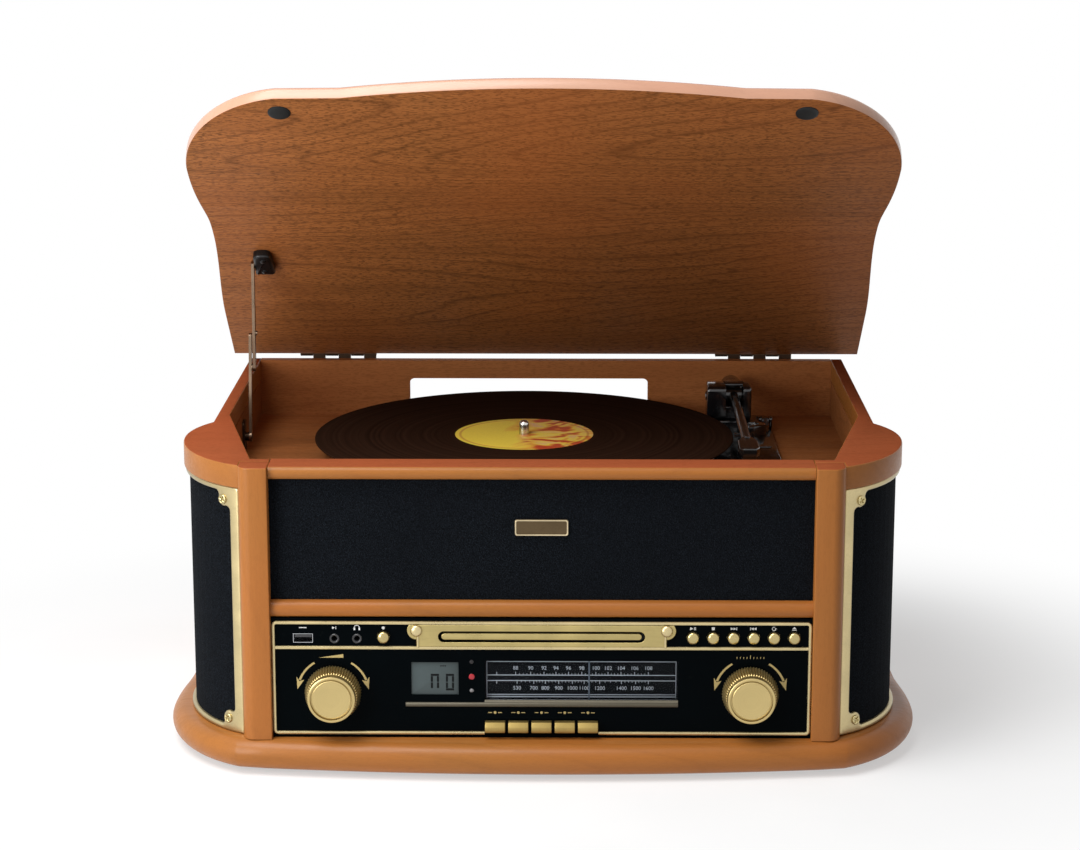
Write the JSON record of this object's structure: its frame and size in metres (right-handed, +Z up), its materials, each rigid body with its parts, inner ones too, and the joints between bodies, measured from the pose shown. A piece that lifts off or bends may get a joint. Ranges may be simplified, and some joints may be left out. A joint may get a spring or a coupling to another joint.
{
  "type": "stereo music centre",
  "caption": "Wooden stereo music centre with a lidded record player on top, cloth covered speakers, a disc slot, a radio dial, knobs, buttons and keys.",
  "frame": {"origin": "under the middle of the plinth, on the surface it stands on", "axes": "+X to the right of someone facing the controls, +Y to the rear, +Z up"},
  "size_m": [0.5104, 0.3869, 0.4507],
  "materials": {
    "wood_plinth": "satin",
    "wood_cap": "satin",
    "wood_inside": "satin",
    "wood_lid": "satin",
    "foot_rubber": "matte",
    "grille_cloth": "matte",
    "gold_metal": "satin",
    "badge_metal": "satin",
    "panel_black": "gloss",
    "rear_board": "matte",
    "speaker_steel": "satin",
    "dial_glass": "gloss",
    "dial_plate": "matte",
    "display_glass": "gloss",
    "socket_metal": "gloss",
    "board_green": "matte",
    "control_metal": "satin",
    "iron": "matte",
    "rear_socket_metal": "gloss",
    "mechanism_steel": "matte",
    "bearing_steel": "satin",
    "belt_rubber": "matte",
    "arm_black": "gloss",
    "hinge_steel": "satin",
    "lid_rubber": "matte",
    "platter_metal": "satin",
    "mat": "matte",
    "vinyl": "gloss",
    "label_paper": "matte",
    "pulley_brass": "satin",
    "tray_gold": "satin",
    "knob_gold": "satin",
    "needle_white": "matte",
    "button_gold": "gloss",
    "key_gold": "satin"
  },
  "bodies": {
    "cabinet": {"base_plinth": "wood_plinth", "front_rails": "wood_plinth", "top_frame": "wood_cap", "side_boards": "wood_inside", "back_wall": "wood_inside", "deck_board": "wood_inside", "rubber_feet": "foot_rubber", "front_grille": "grille_cloth", "side_cloths": "grille_cloth", "side_trims": "gold_metal", "fascia_frame": "gold_metal", "cd_plate": "gold_metal", "trim_screws": "gold_metal", "badge_plate": "badge_metal", "fascia_panel": "panel_black", "rear_panel": "rear_board", "speakers": "speaker_steel", "dial_window": "dial_glass", "dial_scale": "dial_plate", "display": "display_glass", "front_sockets": "socket_metal", "circuit_boards": "board_green", "rotary_controls": "control_metal", "transformer": "iron", "rear_sockets": "rear_socket_metal", "cd_mechanism": "mechanism_steel", "platter_bearing": "bearing_steel", "motor": "bearing_steel", "drive_belt": "belt_rubber", "tonearm_base": "arm_black", "cabinet_lid_fittings": "hinge_steel"},
    "lid": {"lid": "wood_lid", "lid_hinge_leaves": "hinge_steel", "lid_fittings": "lid_rubber"},
    "stay_upper": {"stay_upper_bar": "hinge_steel"},
    "stay_lower": {"stay_lower_bar": "hinge_steel"},
    "turntable": {"platter": "platter_metal", "slip_mat": "mat", "record": "vinyl", "record_label": "label_paper"},
    "pulley": {"motor_pulley": "pulley_brass"},
    "arm_yoke": {"tonearm_yoke": "arm_black"},
    "arm": {"tonearm": "arm_black"},
    "cue": {"cue_lever": "arm_black"},
    "disc_tray": {"cd_tray": "tray_gold"},
    "volume": {"volume_knob": "knob_gold"},
    "tuning": {"tuning_knob": "knob_gold"},
    "pointer": {"dial_pointer": "needle_white"},
    "button_1": {"round_button_1": "button_gold"},
    "button_2": {"round_button_2": "button_gold"},
    "button_3": {"round_button_3": "button_gold"},
    "button_4": {"round_button_4": "button_gold"},
    "button_5": {"round_button_5": "button_gold"},
    "button_6": {"round_button_6": "button_gold"},
    "button_7": {"round_button_7": "button_gold"},
    "piano_key_1": {"key_1": "key_gold"},
    "piano_key_2": {"key_2": "key_gold"},
    "piano_key_3": {"key_3": "key_gold"},
    "piano_key_4": {"key_4": "key_gold"},
    "piano_key_5": {"key_5": "key_gold"}
  },
  "joints": [
    {"name": "lid_close", "type": "hinge", "parent": "cabinet", "child": "lid", "pos_m": [0, 0.188, 0.2104], "axis": [1, 0, 0], "range_deg": [0, 38.8]},
    {"name": "stay_upper_fold", "type": "hinge", "parent": "lid", "child": "stay_upper", "pos_m": [-0.2126, 0.07031, 0.29925], "axis": [1, 0, 0], "range_deg": [-1, 29.95]},
    {"name": "stay_lower_fold", "type": "hinge", "parent": "cabinet", "child": "stay_lower", "pos_m": [-0.2156, 0.058, 0.1745], "axis": [1, 0, 0], "range_deg": [-82.1, 1]},
    {"name": "platter_spin", "type": "hinge", "parent": "cabinet", "child": "turntable", "pos_m": [-0.0145, 0.042, 0.1805], "axis": [0, 0, -1], "continuous": true},
    {"name": "pulley_spin", "type": "hinge", "parent": "cabinet", "child": "pulley", "pos_m": [-0.07945, 0.0795, 0.1693], "axis": [0, 0, -1], "continuous": true},
    {"name": "arm_swing", "type": "hinge", "parent": "cabinet", "child": "arm_yoke", "pos_m": [0.142, 0.128, 0.1756], "axis": [0, 0, -1], "range_deg": [0, 43]},
    {"name": "arm_lift", "type": "hinge", "parent": "arm_yoke", "child": "arm", "pos_m": [0.142, 0.128, 0.1913], "axis": [-1, 0, 0], "range_deg": [0, 4]},
    {"name": "cue_turn", "type": "hinge", "parent": "cabinet", "child": "cue", "pos_m": [0.166, 0.124, 0.1723], "axis": [-1, 0, 0], "range_deg": [0, 60]},
    {"name": "tray_slide", "type": "slide", "parent": "cabinet", "child": "disc_tray", "axis": [0, -1, 0], "range_m": [0, 0.118]},
    {"name": "volume_turn", "type": "hinge", "parent": "cabinet", "child": "volume", "pos_m": [-0.1371, -0.17, 0.0545], "axis": [0, 1, 0], "range_deg": [-150, 150]},
    {"name": "tuning_turn", "type": "hinge", "parent": "cabinet", "child": "tuning", "pos_m": [0.1371, -0.17, 0.0545], "axis": [0, 1, 0], "range_deg": [-310, 245]},
    {"name": "pointer_slide", "type": "slide", "parent": "cabinet", "child": "pointer", "axis": [1, 0, 0], "range_m": [-0.0488, 0.0387]},
    {"name": "button_1_press", "type": "slide", "parent": "cabinet", "child": "button_1", "axis": [0, 1, 0], "range_m": [0, 0.0015], "stiffness_N_per_m": 300},
    {"name": "button_2_press", "type": "slide", "parent": "cabinet", "child": "button_2", "axis": [0, 1, 0], "range_m": [0, 0.0015], "stiffness_N_per_m": 300},
    {"name": "button_3_press", "type": "slide", "parent": "cabinet", "child": "button_3", "axis": [0, 1, 0], "range_m": [0, 0.0015], "stiffness_N_per_m": 300},
    {"name": "button_4_press", "type": "slide", "parent": "cabinet", "child": "button_4", "axis": [0, 1, 0], "range_m": [0, 0.0015], "stiffness_N_per_m": 300},
    {"name": "button_5_press", "type": "slide", "parent": "cabinet", "child": "button_5", "axis": [0, 1, 0], "range_m": [0, 0.0015], "stiffness_N_per_m": 300},
    {"name": "button_6_press", "type": "slide", "parent": "cabinet", "child": "button_6", "axis": [0, 1, 0], "range_m": [0, 0.0015], "stiffness_N_per_m": 300},
    {"name": "button_7_press", "type": "slide", "parent": "cabinet", "child": "button_7", "axis": [0, 1, 0], "range_m": [0, 0.0015], "stiffness_N_per_m": 300},
    {"name": "key_1_press", "type": "slide", "parent": "cabinet", "child": "piano_key_1", "axis": [0, 1, 0], "range_m": [0, 0.003], "stiffness_N_per_m": 300},
    {"name": "key_2_press", "type": "slide", "parent": "cabinet", "child": "piano_key_2", "axis": [0, 1, 0], "range_m": [0, 0.003], "stiffness_N_per_m": 300},
    {"name": "key_3_press", "type": "slide", "parent": "cabinet", "child": "piano_key_3", "axis": [0, 1, 0], "range_m": [0, 0.003], "stiffness_N_per_m": 300},
    {"name": "key_4_press", "type": "slide", "parent": "cabinet", "child": "piano_key_4", "axis": [0, 1, 0], "range_m": [0, 0.003], "stiffness_N_per_m": 300},
    {"name": "key_5_press", "type": "slide", "parent": "cabinet", "child": "piano_key_5", "axis": [0, 1, 0], "range_m": [0, 0.003], "stiffness_N_per_m": 300}
  ],
  "couplings": [
    {"joint": "stay_upper_fold", "follows": "lid_close", "ratio": 0.74603},
    {"joint": "stay_lower_fold", "follows": "lid_close", "ratio": -2.0903},
    {"joint": "pulley_spin", "follows": "platter_spin", "ratio": 11},
    {"joint": "pointer_slide", "follows": "tuning_turn", "m_per_rad": 0.009}
  ]
}
